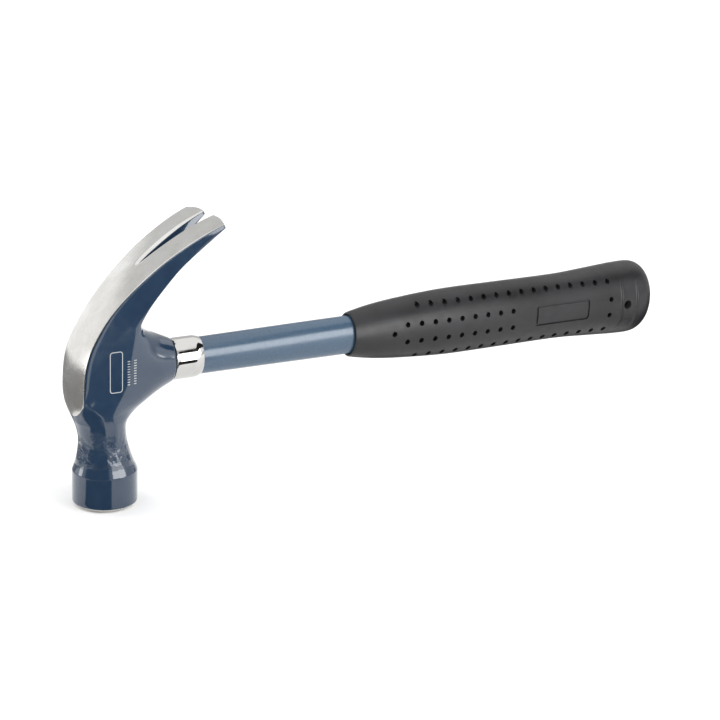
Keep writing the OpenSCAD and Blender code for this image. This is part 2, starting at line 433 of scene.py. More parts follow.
@dataclass(frozen=True)
class Enamel:
    """Glossy blue paint over a forging, wrinkled where the neck was not ground."""

    name: str = "head_enamel"
    deep: Colour = (0.0148, 0.0335, 0.067, 1.0)
    light: Colour = (0.0188, 0.040, 0.076, 1.0)
    print_white: Colour = (0.52, 0.54, 0.55, 1.0)
    gloss: Pair = (0.10, 0.17)
    coat: float = 0.75
    wrinkle_low: float = 0.0195
    wrinkle_high: float = 0.040
    wrinkle_depth: float = 0.0012
    wave_depth: float = 0.00007
    peel_depth: float = 0.000012
    plate_centre: Pair = (0.0001, 0.0655)
    plate_half: Pair = (0.0029, 0.0093)
    plate_corner: float = 0.0012
    plate_line: float = 0.00030
    tick_rows: tuple[float, ...] = (0.0061, 0.0094)
    tick_ends: Pair = (0.0588, 0.0702)
    tick_half: float = 0.0007
    tick_pitch: float = 0.0012
    tick_share: Pair = (0.30, 0.42)
    printed_y: Pair = (-0.010, -0.009)

    def outline(self, mix: Mix) -> object:
        """Draws a plain rounded frame on the near cheek.

        Args:
            mix: The material's nodes.

        Returns:
            The socket that is 1 on the printed line and 0 elsewhere.
        """
        x, y, z = mix.axes()
        corner = self.plate_corner
        outs, squares = [], []
        for axis, middle, half in zip((x, z), self.plate_centre, self.plate_half):
            out = mix.sum("SUBTRACT", mix.apart(axis, middle), half - corner)
            held = mix.sum("MAXIMUM", out, 0.0)
            outs.append(out)
            squares.append(mix.sum("MULTIPLY", held, held))
        reach = mix.sum("SQRT", mix.sum("ADD", *squares))
        inside = mix.sum("MINIMUM", mix.sum("MAXIMUM", *outs), 0.0)
        gap = mix.apart(mix.sum("ADD", reach, inside), corner)
        line = mix.span(gap, self.plate_line * 0.4, self.plate_line * 0.7, 1.0, 0.0)
        for tick_x in self.tick_rows:
            line = mix.sum("MAXIMUM", line, self.ticks(mix, x, z, tick_x))
        near = mix.span(y, *self.printed_y, 1.0, 0.0)
        return mix.sum("MULTIPLY", line, near)

    def ticks(self, mix: Mix, x: object, z: object, centre: float) -> object:
        """Draws a plain row of short printed ticks up the near cheek.

        Args:
            mix: The material's nodes.
            x: The socket of the point's X.
            z: The socket of the point's Z.
            centre: X of the row's middle.

        Returns:
            The socket that is 1 on the ticks and 0 elsewhere.
        """
        low, high = self.tick_ends
        off = mix.apart(x, centre)
        row = mix.span(off, self.tick_half - 0.0001, self.tick_half, 0.8, 0.0)
        turns = mix.sum("FRACT", mix.sum("DIVIDE", z, self.tick_pitch))
        dash = mix.span(turns, *self.tick_share, 1.0, 0.0)
        above = mix.sum("GREATER_THAN", z, low)
        below = mix.sum("LESS_THAN", z, high)
        ends = mix.sum("MULTIPLY", above, below)
        return mix.sum("MULTIPLY", mix.sum("MULTIPLY", row, dash), ends)

    def tone(self, mix: Mix) -> object:
        """Mixes the paint's two blues in soft patches.

        Args:
            mix: The material's nodes.

        Returns:
            The colour's socket.
        """
        return mix.blend(
            mix.span(mix.noise(70.0), 0.35, 0.65), self.deep, self.light
        )

    def ripple(self, mix: Mix) -> object:
        """Gives the normal of the orange peel and of the rough neck.

        Args:
            mix: The material's nodes.

        Returns:
            The normal's socket.
        """
        z = mix.axes()[2]
        rise = mix.span(z, self.wrinkle_low, self.wrinkle_low + 0.003)
        fall = mix.span(z, self.wrinkle_high - 0.010, self.wrinkle_high, 1.0, 0.0)
        mask = mix.sum("MULTIPLY", rise, fall)
        lumps = mix.sum("MULTIPLY", mix.noise(230.0, 2.0, 0.45), mask)
        coarse = mix.relief(lumps, self.wrinkle_depth)
        waves = mix.relief(mix.noise(110.0, 1.0), self.wave_depth, coarse)
        return mix.relief(mix.noise(1400.0, 2.0), self.peel_depth, waves)

    def build(self) -> Material:
        """Makes the material.

        Returns:
            The material.
        """
        mix = Mix(self.name)
        mix.dress(
            Base_Color=mix.blend(
                self.outline(mix), self.tone(mix), self.print_white
            ),
            Roughness=mix.span(mix.noise(300.0), 0.3, 0.7, *self.gloss),
            Normal=self.ripple(mix),
            Coat_Weight=self.coat,
            Coat_Roughness=0.04,
        )
        return mix.material


@dataclass(frozen=True)
class GroundSteel:
    """Bare forged steel, ground and polished, with fine lines from the belt."""

    name: str = "ground_steel"
    bright: Colour = (0.66, 0.655, 0.64, 1.0)
    dull: Colour = (0.565, 0.555, 0.53, 1.0)
    smooth: float = 0.22
    scuffed: float = 0.29
    grind: Triple = (1500.0, 90.0, 1500.0)
    line_depth: float = 0.000012
    wave_depth: float = 0.00006

    def lines(self, mix: Mix) -> object:
        """Gives the belt's lines, long across the strip and fine along it."""
        return mix.noise(1.0, 4.0, 0.6, mix.stretched(*self.grind))

    def tone(self, mix: Mix) -> object:
        """Mixes bright and dull steel in patches and gives the colour."""
        patches = mix.span(mix.noise(60.0, 4.0, 0.6), 0.3, 0.7)
        return mix.blend(patches, self.bright, self.dull)

    def gloss(self, mix: Mix) -> object:
        """Gives the roughness, higher in scuffed patches."""
        patches = mix.noise(140.0, 3.0, 0.6)
        return mix.span(patches, 0.3, 0.75, self.smooth, self.scuffed)

    def waves(self, mix: Mix) -> object:
        """Gives the normal of the broad waves that the belt leaves."""
        return mix.relief(mix.noise(40.0, 1.0), self.wave_depth)

    def build(self) -> Material:
        """Makes the material.

        Returns:
            The material.
        """
        mix = Mix(self.name)
        normal = mix.relief(self.lines(mix), self.line_depth, self.waves(mix))
        mix.dress(
            Base_Color=self.tone(mix),
            Metallic=1.0,
            Roughness=self.gloss(mix),
            Normal=normal,
        )
        return mix.material


@dataclass(frozen=True)
class StripFoot:
    """The foot of the ground strip, where the belt ran out in a round end."""

    paint: Enamel = Enamel()
    steel: GroundSteel = GroundSteel()
    lowest: float = 0.0437
    rise: float = 54.0
    ragged: float = 0.0006
    paint_rough: Colour = (0.12, 0.12, 0.12, 1.0)
    paint_depth: float = 0.00008

    def build(self) -> Material:
        """Makes the material.

        Returns:
            The material.
        """
        mix = Mix("strip_foot")
        _, y, z = mix.axes()
        edge = mix.sum(
            "MULTIPLY_ADD", mix.sum("MULTIPLY", y, y), self.rise, self.lowest
        )
        edge = mix.sum("MULTIPLY_ADD", mix.noise(500.0), self.ragged, edge)
        above = mix.sum("SUBTRACT", z, edge)
        ground = mix.span(above, -0.0002, 0.0001)
        paint, steel = self.paint, self.steel
        mix.dress(
            Base_Color=mix.blend(ground, paint.tone(mix), steel.tone(mix)),
            Metallic=ground,
            Roughness=mix.blend(ground, self.paint_rough, steel.gloss(mix)),
            Normal=mix.relief(ground, -self.paint_depth, steel.waves(mix)),
        )
        return mix.material


@dataclass(frozen=True)
class TubePaint:
    """Satin blue powder paint on the handle's tube, with a fine tooth."""

    name: str = "tube_paint"
    deep: Colour = (0.039, 0.079, 0.130, 1.0)
    light: Colour = (0.046, 0.087, 0.142, 1.0)
    gloss: Pair = (0.18, 0.24)
    shine: float = 0.75
    tooth_depth: float = 0.000006
    wave_depth: float = 0.00002

    def build(self) -> Material:
        """Makes the material.

        Returns:
            The material.
        """
        mix = Mix(self.name)
        patches = mix.span(mix.noise(900.0, 2.0), 0.35, 0.65)
        tooth = mix.relief(mix.noise(2600.0, 2.0), self.tooth_depth)
        mix.dress(
            Base_Color=mix.blend(patches, self.deep, self.light),
            Roughness=mix.span(mix.noise(400.0), 0.3, 0.7, *self.gloss),
            Normal=mix.relief(mix.noise(120.0, 1.0), self.wave_depth, tooth),
            Specular_IOR_Level=self.shine,
        )
        return mix.material


@dataclass(frozen=True)
class Chrome:
    """Bright plating, mirror smooth but for faint handling marks."""

    name: str = "bright_plating"
    plate: Colour = (0.575, 0.57, 0.555, 1.0)
    worn: Colour = (0.54, 0.53, 0.51, 1.0)
    gloss: Pair = (0.03, 0.10)
    wave_depth: float = 0.000002

    def build(self) -> Material:
        """Makes the material.

        Returns:
            The material.
        """
        mix = Mix(self.name)
        marks = mix.span(mix.noise(260.0, 4.0, 0.6), 0.45, 0.75)
        mix.dress(
            Base_Color=mix.blend(marks, self.plate, self.worn),
            Metallic=1.0,
            Roughness=mix.span(marks, 0.0, 1.0, *self.gloss),
            Normal=mix.relief(mix.noise(60.0, 1.0), self.wave_depth),
        )
        return mix.material


@dataclass(frozen=True)
class Rubber:
    """Soft black rubber with a fine moulded grain and a dusty bloom."""

    name: str = "grip_rubber"
    black: Colour = (0.009, 0.009, 0.010, 1.0)
    bloom: Colour = (0.016, 0.016, 0.018, 1.0)
    gloss: Pair = (0.34, 0.42)
    shine: float = 0.4
    grain_depth: float = 0.00005
    wave_depth: float = 0.00012

    def build(self) -> Material:
        """Makes the material.

        Returns:
            The material.
        """
        mix = Mix(self.name)
        dust = mix.span(mix.noise(45.0, 4.0, 0.6), 0.35, 0.7)
        grain = mix.relief(mix.noise(1900.0, 3.0, 0.6), self.grain_depth)
        mix.dress(
            Base_Color=mix.blend(dust, self.black, self.bloom),
            Roughness=mix.span(mix.noise(240.0), 0.3, 0.7, *self.gloss),
            Specular_IOR_Level=self.shine,
            Normal=mix.relief(mix.noise(70.0, 1.0), self.wave_depth, grain),
        )
        return mix.material


@dataclass(frozen=True)
class PlugFinish:
    """A turned or moulded plug's plain finish with faint rings.

    Attributes:
        name: The material's name.
        dark: The colour in the hollows.
        pale: The colour on the crests.
        metal: 1 for steel, 0 for plastic.
        rough: The mean roughness.
    """

    name: str
    dark: Colour
    pale: Colour
    metal: float
    rough: float

    def build(self) -> Material:
        """Makes the material.

        Returns:
            The material.
        """
        mix = Mix(self.name)
        rings = mix.noise(1.0, 2.0, 0.5, mix.stretched(1800.0, 60.0, 60.0))
        smooth, rough = self.rough - 0.06, self.rough + 0.06
        mix.dress(
            Base_Color=mix.blend(rings, self.dark, self.pale),
            Metallic=self.metal,
            Roughness=mix.span(rings, 0.2, 0.8, smooth, rough),
            Normal=mix.relief(rings, 0.00003),
        )
        return mix.material


# --- the head ---


@dataclass(frozen=True)
class Slice:
    """One slice across the head's body or claws.

    Attributes:
        front: X and Z of the ground strip's edge.
        back: X and Z of the middle of the rear side.
        half: Half the width at the strip's edge.
        flat: The share of the way back where the flat cheek ends.
        flank: Half the width at the rear corner.
        corner: The share of the way back where the rear corner is.
        crown: How far the strip's middle stands proud of its edge.
        gap: Half the nail slot's width.
        edge: Half the strip's width, or None where it is the cheek's.
        start: The share of the way back where the flat cheek begins, or None.
    """

    front: Pair
    back: Pair
    half: float
    flat: float
    flank: float
    corner: float = 0.92
    crown: float = 1.6
    gap: float = 0.0
    edge: float | None = None
    start: float | None = None

    def points(self) -> list[Vector]:
        """Gives the eight control points from the front round to the back.

        Returns:
            The places in metres.
        """
        front, back = Vector(self.front), Vector(self.back)
        out = (front - back).normalized()

        def at(share: float, half: float, lift: float = 0.0) -> Vector:
            """Gives one point by its share of the way back and its half width."""
            spot = front.lerp(back, share) + out * lift
            return place(spot.x, -half, spot.y)

        edge = self.half if self.edge is None else self.edge
        start = self.flat * 0.5 if self.start is None else self.start
        return [
            at(0.0, self.gap, self.crown),
            at(0.0, (self.gap + edge) / 2, self.crown * 0.8),
            at(0.0, edge),
            at(start, self.half),
            at(self.flat, self.half),
            at(self.corner, self.flank),
            at(1.0, (self.gap + self.flank) / 2),
            at(1.0, self.gap),
        ]


@dataclass(frozen=True)
class Hoop:
    """One round slice of the bell or the neck."""

    z: float
    radius: float
    centre_x: float = 0.0

    def points(self) -> list[Vector]:
        """Gives the control points of the near half, from front to back.

        Returns:
            The places in metres.
        """
        last = COLUMNS - 1
        out = swell(math.pi / last) * self.radius
        turns = [math.pi * k / last for k in range(COLUMNS)]
        return [
            place(self.centre_x - out * math.cos(turn), -out * math.sin(turn), self.z)
            for turn in turns
        ]


@dataclass
class Head:
    """The forged head: bell, neck, body, eye and the two claws.

    Its near half is grown as a coarse cage, slice by slice, then mirrored and
    rounded by subdivision.
    """

    face_core: float = 7.205
    bell: tuple[Hoop, ...] = (
        Hoop(0, 13.1),
        Hoop(1.7, 14.75),
        Hoop(4.5, 14.75),
        Hoop(13, 14.75),
        Hoop(16.3, 14.75),
        Hoop(18.3, 14),
        Hoop(21, 12.9, -0.2),
        Hoop(25.5, 11.7, -0.6),
        Hoop(31.5, 10.6, -1.1),
        Hoop(36.5, 11, -1.8),
        Hoop(40.5, 11.8, -2.3),
    )
    body: tuple[Slice, ...] = (
        Slice((-14.7, 45), (13.9, 44), 12.2, 0.49, 7.4, 0.85, 1.6, 0, 8.2, 0.29),
        Slice((-15.15, 49), (18.2, 47.4), 12.5, 0.475, 9.6, 0.82, 1.6, 0, 10.8, 0.15),
        Slice((-15.1, 53.6), (14, 53), 12.5, 0.61, 11.2, start=0.09),
        Slice((-14.95, 59.2), (14, 58.5), 12.5, 0.71, 11.5),
        Slice((-14.6, 65), (14, 64), 12.5, 0.73, 11.5),
        Slice((-13.6, 70.6), (14, 69.5), 12.5, 0.75, 11.5),
        Slice((-11.9, 75.8), (14.4, 74.8), 12.5, 0.76, 11.4),
        Slice((-9.3, 80.9), (18.6, 80.1), 12.5, 0.67, 11, corner=0.83),
        Slice((-5.4, 87.2), (13.3, 84.9), 12.5, 0.80, 12.1),
        Slice((-0.9, 93.3), (16.3, 91.2), 12.7, 0.80, 12.6),
    )
    claws: tuple[Slice, ...] = (
        Slice((6.3, 101.2), (21.3, 98.6), 13.8, 0.80, 13.8),
        Slice((14.8, 108.6), (28.2, 107.3), 15, 0.80, 15, crown=1.5),
        Slice((18, 111.2), (30.6, 110), 15.4, 0.80, 15.4, crown=1.5, gap=0.9),
        Slice((22.8, 114.9), (34.2, 113.6), 16.1, 0.80, 16.1, crown=1.5, gap=1.5),
        Slice((31.2, 120.4), (39.9, 118.8), 17.3, 0.80, 17.2, crown=1.4, gap=2.5),
        Slice((41.2, 126), (45.6, 124), 18.4, 0.80, 18.2, crown=1.2, gap=3.6),
        Slice((50.9, 130), (51.4, 128.9), 19.1, 0.80, 19, crown=0.6, gap=4.5),
    )
    tip_round: tuple[float, ...] = (0.4, 0.0, 2.4, 2.5, 2.5, 2.4, 0.0, 0.4)
    slot_chamfer: tuple[float, ...] = (0.9, 1.4, 1.6, 1.5, 1.1, 0.5)
    slot_lean: float = 0.8
    eye: tuple[Oval, ...] = (
        Oval(23.2, 28.4, 20),
        Oval(28, 23.9, 17.6),
        Oval(31, 21.1, 16.3),
        Oval(31.4, 20.5, 15.8),
        Oval(31.4, 17.8, 13.1),
        Oval(30.6, 17.4, 12.7),
        Oval(-4.4, 17.4, 12.7),
    )
    eye_lips: range = range(2, 5)
    eye_rows: int = 6
    skins: tuple[object, ...] = (Enamel(), GroundSteel(), StripFoot())

    def rows(self) -> list[list[Vector]]:
        """Gives every slice's control points, from the face to the tips.

        Returns:
            One list of places in metres for each slice.
        """
        rows = [piece.points() for piece in (*self.bell, *self.body, *self.claws)]
        for spot, before, back_off in zip(rows[-1], rows[-2], self.tip_round):
            spot -= (spot - before).normalized() * back_off * MM
        return rows

    def eye_arc(self, oval: Oval, count: int) -> list[Vector]:
        """Gives the near half of an oval of the eye, from bottom to top.

        Args:
            oval: The oval.
            count: How many points the half has.

        Returns:
            The places in metres.
        """
        out = swell(math.pi / (count - 1))
        turns = [math.pi * (k / (count - 1) - 0.5) for k in range(count)]
        return [
            place(
                oval.x,
                -out * oval.width / 2 * math.cos(turn),
                AXIS_Z + out * oval.height / 2 * math.sin(turn),
            )
            for turn in turns
        ]

    def skin_of(self, row: int, column: int, foot: int) -> Skin:
        """Names the finish of a cage face by its row and column.

        Args:
            row: The row below the face.
            column: The column before the face.
            foot: The first row of the body.

        Returns:
            The finish.
        """
        if row == 0:
            return Skin.STEEL
        if column > 1 or row < foot - 1:
            return Skin.PAINT
        return Skin.FOOT if row < foot + 2 else Skin.STEEL

    def half_cage(self) -> BMesh:
        """Grows the near half of the head as a coarse cage.

        Returns:
            The cage.
        """
        bm = bmesh.new()
        rows = self.rows()
        centre = bmesh.ops.create_circle(
            bm, segments=2 * COLUMNS - 2, radius=self.face_core * MM, cap_ends=True
        )["verts"]
        bmesh.ops.rotate(bm, verts=centre, matrix=Matrix.Rotation(math.pi / 2, 3, "Z"))
        bmesh.ops.bisect_plane(
            bm, geom=bm.verts[:] + bm.edges[:] + bm.faces[:], dist=1e-6,
            plane_co=(0, 0, 0), plane_no=(0, 1, 0), clear_outer=True,
        )
        start = sorted(bm.verts, key=lambda v: v.co.x)
        chains = [grow(bm, start, rows[0])]
        for face in bm.faces:
            face.material_index = Skin.STEEL.value
        foot = len(self.bell)
        for index, spots in enumerate(rows[1:]):
            below = chains[-1]
            above = grow(bm, below, spots)
            for column in range(COLUMNS - 1):
                last = column + 1
                corners = below[column], below[last], above[last], above[column]
                skin = self.skin_of(index, column, foot)
                bm.faces.get(corners).material_index = skin.value
            chains.append(above)
        self.open_eye(bm, chains, foot + 1)
        self.cut_slot(bm, chains)
        self.sharpen(bm, chains, foot)
        return bm

    def open_eye(self, bm: BMesh, chains: Rows, low: int) -> None:
        """Takes the rear faces off the body and grows the eye and its socket.

        Args:
            bm: The cage.
            chains: Its rows of vertices.
            low: The row at the foot of the eye.
        """
        high = low + self.eye_rows
        gone = {
            face
            for row in chains[low + 1 : high]
            for vertex in row[6:]
            for face in vertex.link_faces
        }
        inner = {f for f in gone if not any(v in chains[low - 1] for v in f.verts)}
        bmesh.ops.delete(bm, geom=list(inner), context="FACES")
        rim = [chains[low][7], chains[low][6], chains[low][5]]
        rim += [chains[row][5] for row in range(low + 1, high)]
        rim += [chains[high][5], chains[high][6], chains[high][7]]
        for step, oval in enumerate(self.eye):
            rim = grow(bm, rim, self.eye_arc(oval, len(rim)))
            if step in self.eye_lips:
                crease(bm, rim, 0.5)
        bmesh.ops.contextual_create(bm, geom=rim)

    def cut_slot(self, bm: BMesh, chains: Rows) -> None:
        """Closes the nail slot's wall, with its ground edge, and the tip.

        Args:
            bm: The cage.
            chains: Its rows of vertices.
        """
        count = len(self.slot_chamfer)
        split = chains[-count:]
        lip = [row[0] for row in split]
        spots = []
        for row, size, piece in zip(split, self.slot_chamfer, self.claws[-count:]):
            inward = (row[7].co - row[0].co).normalized() * size * MM
            spot = row[0].co + inward
            spot.y = -piece.gap * MM
            spots.append(spot)
            if piece.gap:
                row[0].co.y -= size * self.slot_lean * MM
        wall = grow(bm, lip, spots)
        for vertex in wall:
            for face in vertex.link_faces:
                face.material_index = Skin.STEEL.value
        rear = [row[7] for row in split]
        sides = [bm.edges.get(pair) for pair in zip(wall, wall[1:])]
        sides += [bm.edges.get(pair) for pair in zip(rear, rear[1:])]
        made = bmesh.ops.bridge_loops(bm, edges=sides)
        for face in made["faces"]:
            face.material_index = Skin.PAINT.value
        tip = [*chains[-1], wall[-1]]
        face = bmesh.ops.contextual_create(bm, geom=tip)["faces"][0]
        face.material_index = Skin.STEEL.value
        crease(bm, lip, 0.7)
        crease(bm, wall, 0.6)
        crease(bm, rear, 0.6)
        crease(bm, [*tip, chains[-1][0]], 0.8)

    def sharpen(self, bm: BMesh, chains: Rows, foot: int) -> None:
        """Creases the bell's edges, the strip's edge and the cheek's bounds.

        Args:
            bm: The cage.
            chains: Its rows of vertices.
            foot: The first row of the body.
        """
        crease(bm, chains[0], 0.6)
        crease(bm, chains[1], 0.45)
        crease(bm, chains[4], 0.8)
        crease(bm, [row[2] for row in chains[foot:]], 0.86)
        crease(bm, [row[2] for row in chains[foot - 3 : foot + 1]], 0.4)
        crease(bm, [row[3] for row in chains[foot - 2 : foot + 3]], 0.5)
        crease(bm, chains[foot][3:5], 0.5)
        crease(bm, [row[4] for row in chains[foot - 3 : foot + 9]], 0.5)
        crease(bm, [row[5] for row in chains[foot + 8 :]], 0.5)

    def build(self) -> Thing:
        """Mirrors the cage, rounds it and puts on its finishes.

        Returns:
            The head.
        """
        bm = self.half_cage()
        bmesh.ops.mirror(
            bm, geom=bm.verts[:] + bm.edges[:] + bm.faces[:], axis="Y",
            matrix=Matrix.Identity(4), merge_dist=1e-5,
        )
        thing = finish_mesh(bm, "head_forging", merge=1e-5)
        for finish in self.skins:
            thing.data.materials.append(finish.build())
        subdivide(thing, 3)
        return thing


# --- the handle ---


@dataclass
class Tube:
    """The oval steel tube, painted, that swells gently towards the grip."""

    wall: float = 1.5
    lip: float = 0.8
    ends: Pair = (-3.9, 279.4)
    height: float = 17.3
    width: float = 12.6
    mouth_x: float = 126.0
    mouth_growth: float = 1.1

    def scale_at(self, x: float) -> float:
        """Gives how much the section has grown at a place along the tube."""
        share = min(max((x - EYE_X) / (self.mouth_x - EYE_X), 0.0), 1.0)
        return 1.0 + (self.mouth_growth - 1.0) * share

    def build(self) -> Thing:
        """Grows the tube's outside and bore.

        Returns:
            The tube.
        """
        start, end = self.ends
        lip = self.lip
        stops = (start, start + lip, EYE_X, 60.0, 90.0, self.mouth_x, end - lip, end)
        outer = tuple(
            Oval(x, self.height * self.scale_at(x), self.width * self.scale_at(x))
            for x in stops
        )
        bore = tuple(
            Oval(o.x, o.height - 2 * self.wall, o.width - 2 * self.wall)
            for o in reversed(outer)
        )
        bm, rings = Sleeve(outer + bore).shell()
        crease_rings(bm, [rings[0], rings[len(outer) - 1]], 0.7)
        thing = finish_mesh(bm, "shaft_steel")
        thing.data.materials.append(TubePaint().build())
        subdivide(thing, 2)
        return thing


@dataclass
class Ferrule:
    """The plated collar between the head and the tube."""

    ovals: tuple[Oval, ...] = (
        Oval(32, 18.1, 13.4),
        Oval(32, 19, 14.3),
        Oval(32.3, 19.7, 15),
        Oval(33.1, 19.8, 15.1),
        Oval(41.6, 19.8, 15.1),
        Oval(42.8, 19.8, 15.1),
        Oval(43.9, 19.55, 14.85),
        Oval(45, 19, 14.3),
        Oval(45.8, 18.45, 13.75),
        Oval(46.25, 18.1, 13.4),
        Oval(46.25, 17.7, 13),
        Oval(45.2, 17.6, 12.9),
        Oval(33, 17.6, 12.9),
    )
    mouth_rings: tuple[int, int] = (9, 10)

    def build(self) -> Thing:
        """Grows the collar's shell.

        Returns:
            The collar.
        """
        bm, rings = Sleeve(self.ovals).shell()
        crease_rings(bm, [rings[k] for k in self.mouth_rings], 0.3)
        thing = finish_mesh(bm, "ferrule_collar")
        thing.data.materials.append(Chrome().build())
        subdivide(thing, 2)
        return thing


@dataclass(frozen=True)
class HoleRow:
    """A row of blind holes in the grip.

    Attributes:
        first: X of the first hole.
        last: X of the last hole.
        lift: How far the row stands above the handle's axis.
        count: How many holes it has.
    """

    first: float
    last: float
    lift: float
    count: int

    def places(self) -> list[Pair]:
        """Gives X and Z of every hole."""
        step = (self.last - self.first) / max(self.count - 1, 1)
        return [(self.first + step * k, AXIS_Z + self.lift) for k in range(self.count)]


@dataclass
class Grip:
    """The moulded rubber grip with its holes, ribs, plain panel and hang hole."""

    profile: tuple[Pair, ...] = (
        (127, 22.2), (129, 23.1), (135, 25.5), (142, 27.6),
        (149, 29.2), (156, 30.4), (165, 31.8), (175, 33),
        (186, 33.9), (205, 33.9), (225, 33.9), (245, 33.9),
        (254, 34.2), (262, 35), (270, 36.1), (278, 37.1),
        (285.2, 38), (285.9, 38.1), (286.6, 38.2), (287.3, 38.3),
        (288, 38.4), (295, 38.9), (295.7, 38.9), (296.4, 38.9),
        (297.1, 38.9), (297.8, 38.9), (299.5, 38.9), (302, 38.3),
        (304.6, 36.4), (307, 33), (309, 27.2), (310.2, 18),
        (310.5, 8),
    )
    oval: float = 0.75
    sides: int = 48
    bore: Triple = (280.0, 19.3, 14.1)
    lip_round: Triple = (0.7, 0.5, 0.4)
    lip_reach: float = 0.95
    rib_crests: tuple[float, ...] = (286.6, 296.4)
    rib_reach: float = 13.5
    rib_height: float = 1.3
    hole_radius: float = 1.25
    hole_depth: float = 2.4
    hole_taper: Pair = (0.9, 1.25)
    hole_sides: int = 18
    rows: tuple[HoleRow, ...] = (
        HoleRow(161.3, 278.2, 12.8, 16),
        HoleRow(154.1, 216.6, 4.4, 9),
        HoleRow(154.3, 217, -4.3, 9),
        HoleRow(146.8, 146.8, 0.4, 1),
        HoleRow(161.8, 278.4, -13.1, 16),
        HoleRow(279.1, 279.1, 3.9, 1),
        HoleRow(278.9, 278.9, -4.6, 1),
    )
    hang_x: float = 290.0
    hang_radius: float = 1.8
    hang_mouth: float = 2.3
    hang_steps: Triple = (2.0, 0.5, 1.2)
    hang_sides: int = 32
    panel: tuple[float, float, float, float] = (231.3, 265.3, -5.4, 5.5)
    panel_corner: float = 1.6
    panel_line: float = 1.1
    panel_depth: float = 0.6
    panel_clear: float = 1.0
    panel_cuts: int = 11
    sharp_turn: float = 38.0

    def height_at(self, x: float) -> float:
        """Gives the grip's height at a place along it.

        Args:
            x: The place along the grip.

        Returns:
            The height.
        """
        for (x0, h0), (x1, h1) in zip(self.profile, self.profile[1:]):
            if x0 <= x <= x1:
                return h0 + (h1 - h0) * (x - x0) / (x1 - x0)
        return self.profile[-1][1]

    def skin_at(self, x: float, z: float) -> float:
        """Gives how far the grip's surface stands from the middle plane.

        Args:
            x: The place along the grip.
            z: The height in the frame.

        Returns:
            The distance along Y.
        """
        half = self.height_at(x) / 2
        share = min(abs(z - AXIS_Z) / half, 0.98)
        return half * self.oval * math.sqrt(1 - share * share)

    def shell(self) -> Thing:
        """Grows the grip's outside and its bore, with the two ribs raised.

        Returns:
            The grip before its holes are cut.
        """
        end, bore_height, bore_width = self.bore
        lip_x, lip_height = self.profile[0]
        lip_width = lip_height * self.oval
        round_x, inner, outer = self.lip_round
        middle = (bore_height + lip_height) / 2, (bore_width + lip_width) / 2
        inside = (
            Oval(end, bore_height, bore_width),
            Oval(lip_x, bore_height, bore_width),
            Oval(lip_x - round_x, bore_height + inner, bore_width + inner),
            Oval(lip_x - self.lip_reach, middle[0], middle[1]),
            Oval(lip_x - round_x, lip_height - outer, lip_width - outer),
        )
        outside = tuple(Oval(x, h, h * self.oval) for x, h in self.profile)
        sleeve = Sleeve(inside + outside, self.sides, ring_shaped=False)
        bm, rings = sleeve.shell()
        for oval, ring in zip(outside, rings[len(inside) :]):
            if oval.x in self.rib_crests:
                self.raise_rib(ring)
        thing = finish_mesh(bm, "grip_moulding")
        subdivide(thing, 2)
        bake_modifiers(thing)
        return thing

    def raise_rib(self, ring: list[BMVert]) -> None:
        """Lifts a ring on both sides, most at the middle and none at the ends.

        Args:
            ring: The vertices round the rib's crest.
        """
        for vertex in ring:
            off_axis = (vertex.co.z / MM - AXIS_Z) / self.rib_reach
            share = max(1 - off_axis**4, 0.0)
            vertex.co.y += math.copysign(self.rib_height * share, vertex.co.y) * MM

    def hole_cutters(self, bm: BMesh) -> None:
        """Adds a short tapered cutter for every hole, and the hang hole's pin.

        Args:
            bm: The cutters' mesh.
        """
        to_side = Matrix.Rotation(math.pi / 2, 4, "X")
        taper_back = self.hole_taper[::-1]
        for x, z in [spot for row in self.rows for spot in row.places()]:
            for side in Side:
                middle = self.skin_at(x, z) * side.value
                near, far = self.hole_taper if side is Side.NEAR else taper_back
                bmesh.ops.create_cone(
                    bm, cap_ends=True, segments=self.hole_sides,
                    radius1=self.hole_radius * near * MM,
                    radius2=self.hole_radius * far * MM,
                    depth=2 * self.hole_depth * MM,
                    matrix=Matrix.Translation(place(x, middle, z)) @ to_side,
                )
        self.hang_cutter(bm)

    def hang_cutter(self, bm: BMesh) -> None:
        """Adds the hang hole's pin, which widens at both skins of the grip.

        Args:
            bm: The cutters' mesh.
        """
        pin = bmesh.new()
        count = self.hang_sides
        ring = bmesh.ops.create_circle(pin, segments=count, radius=1.0)["verts"]
        skin = self.skin_at(self.hang_x, AXIS_Z)
        wide, thin = self.hang_mouth, self.hang_radius
        clear, mouth, throat = self.hang_steps
        stations = (
            (-skin - clear, wide),
            (-skin + mouth, wide),
            (-skin + throat, thin),
            (skin - throat, thin),
            (skin - mouth, wide),
            (skin + clear, wide),
        )
        turns = [math.tau * k / count for k in range(count)]
        rings = []
        for y, radius in stations:
            offs = [(radius * math.sin(t), radius * math.cos(t)) for t in turns]
            rings.append([place(self.hang_x + x, y, AXIS_Z + z) for x, z in offs])
        for vertex, spot in zip(ring, rings[0]):
            vertex.co = spot
        for spots in rings[1:]:
            ring = grow(pin, ring, spots, closed=True)
        bmesh.ops.holes_fill(pin, edges=[e for e in pin.edges if e.is_boundary])
        pour(pin, bm)

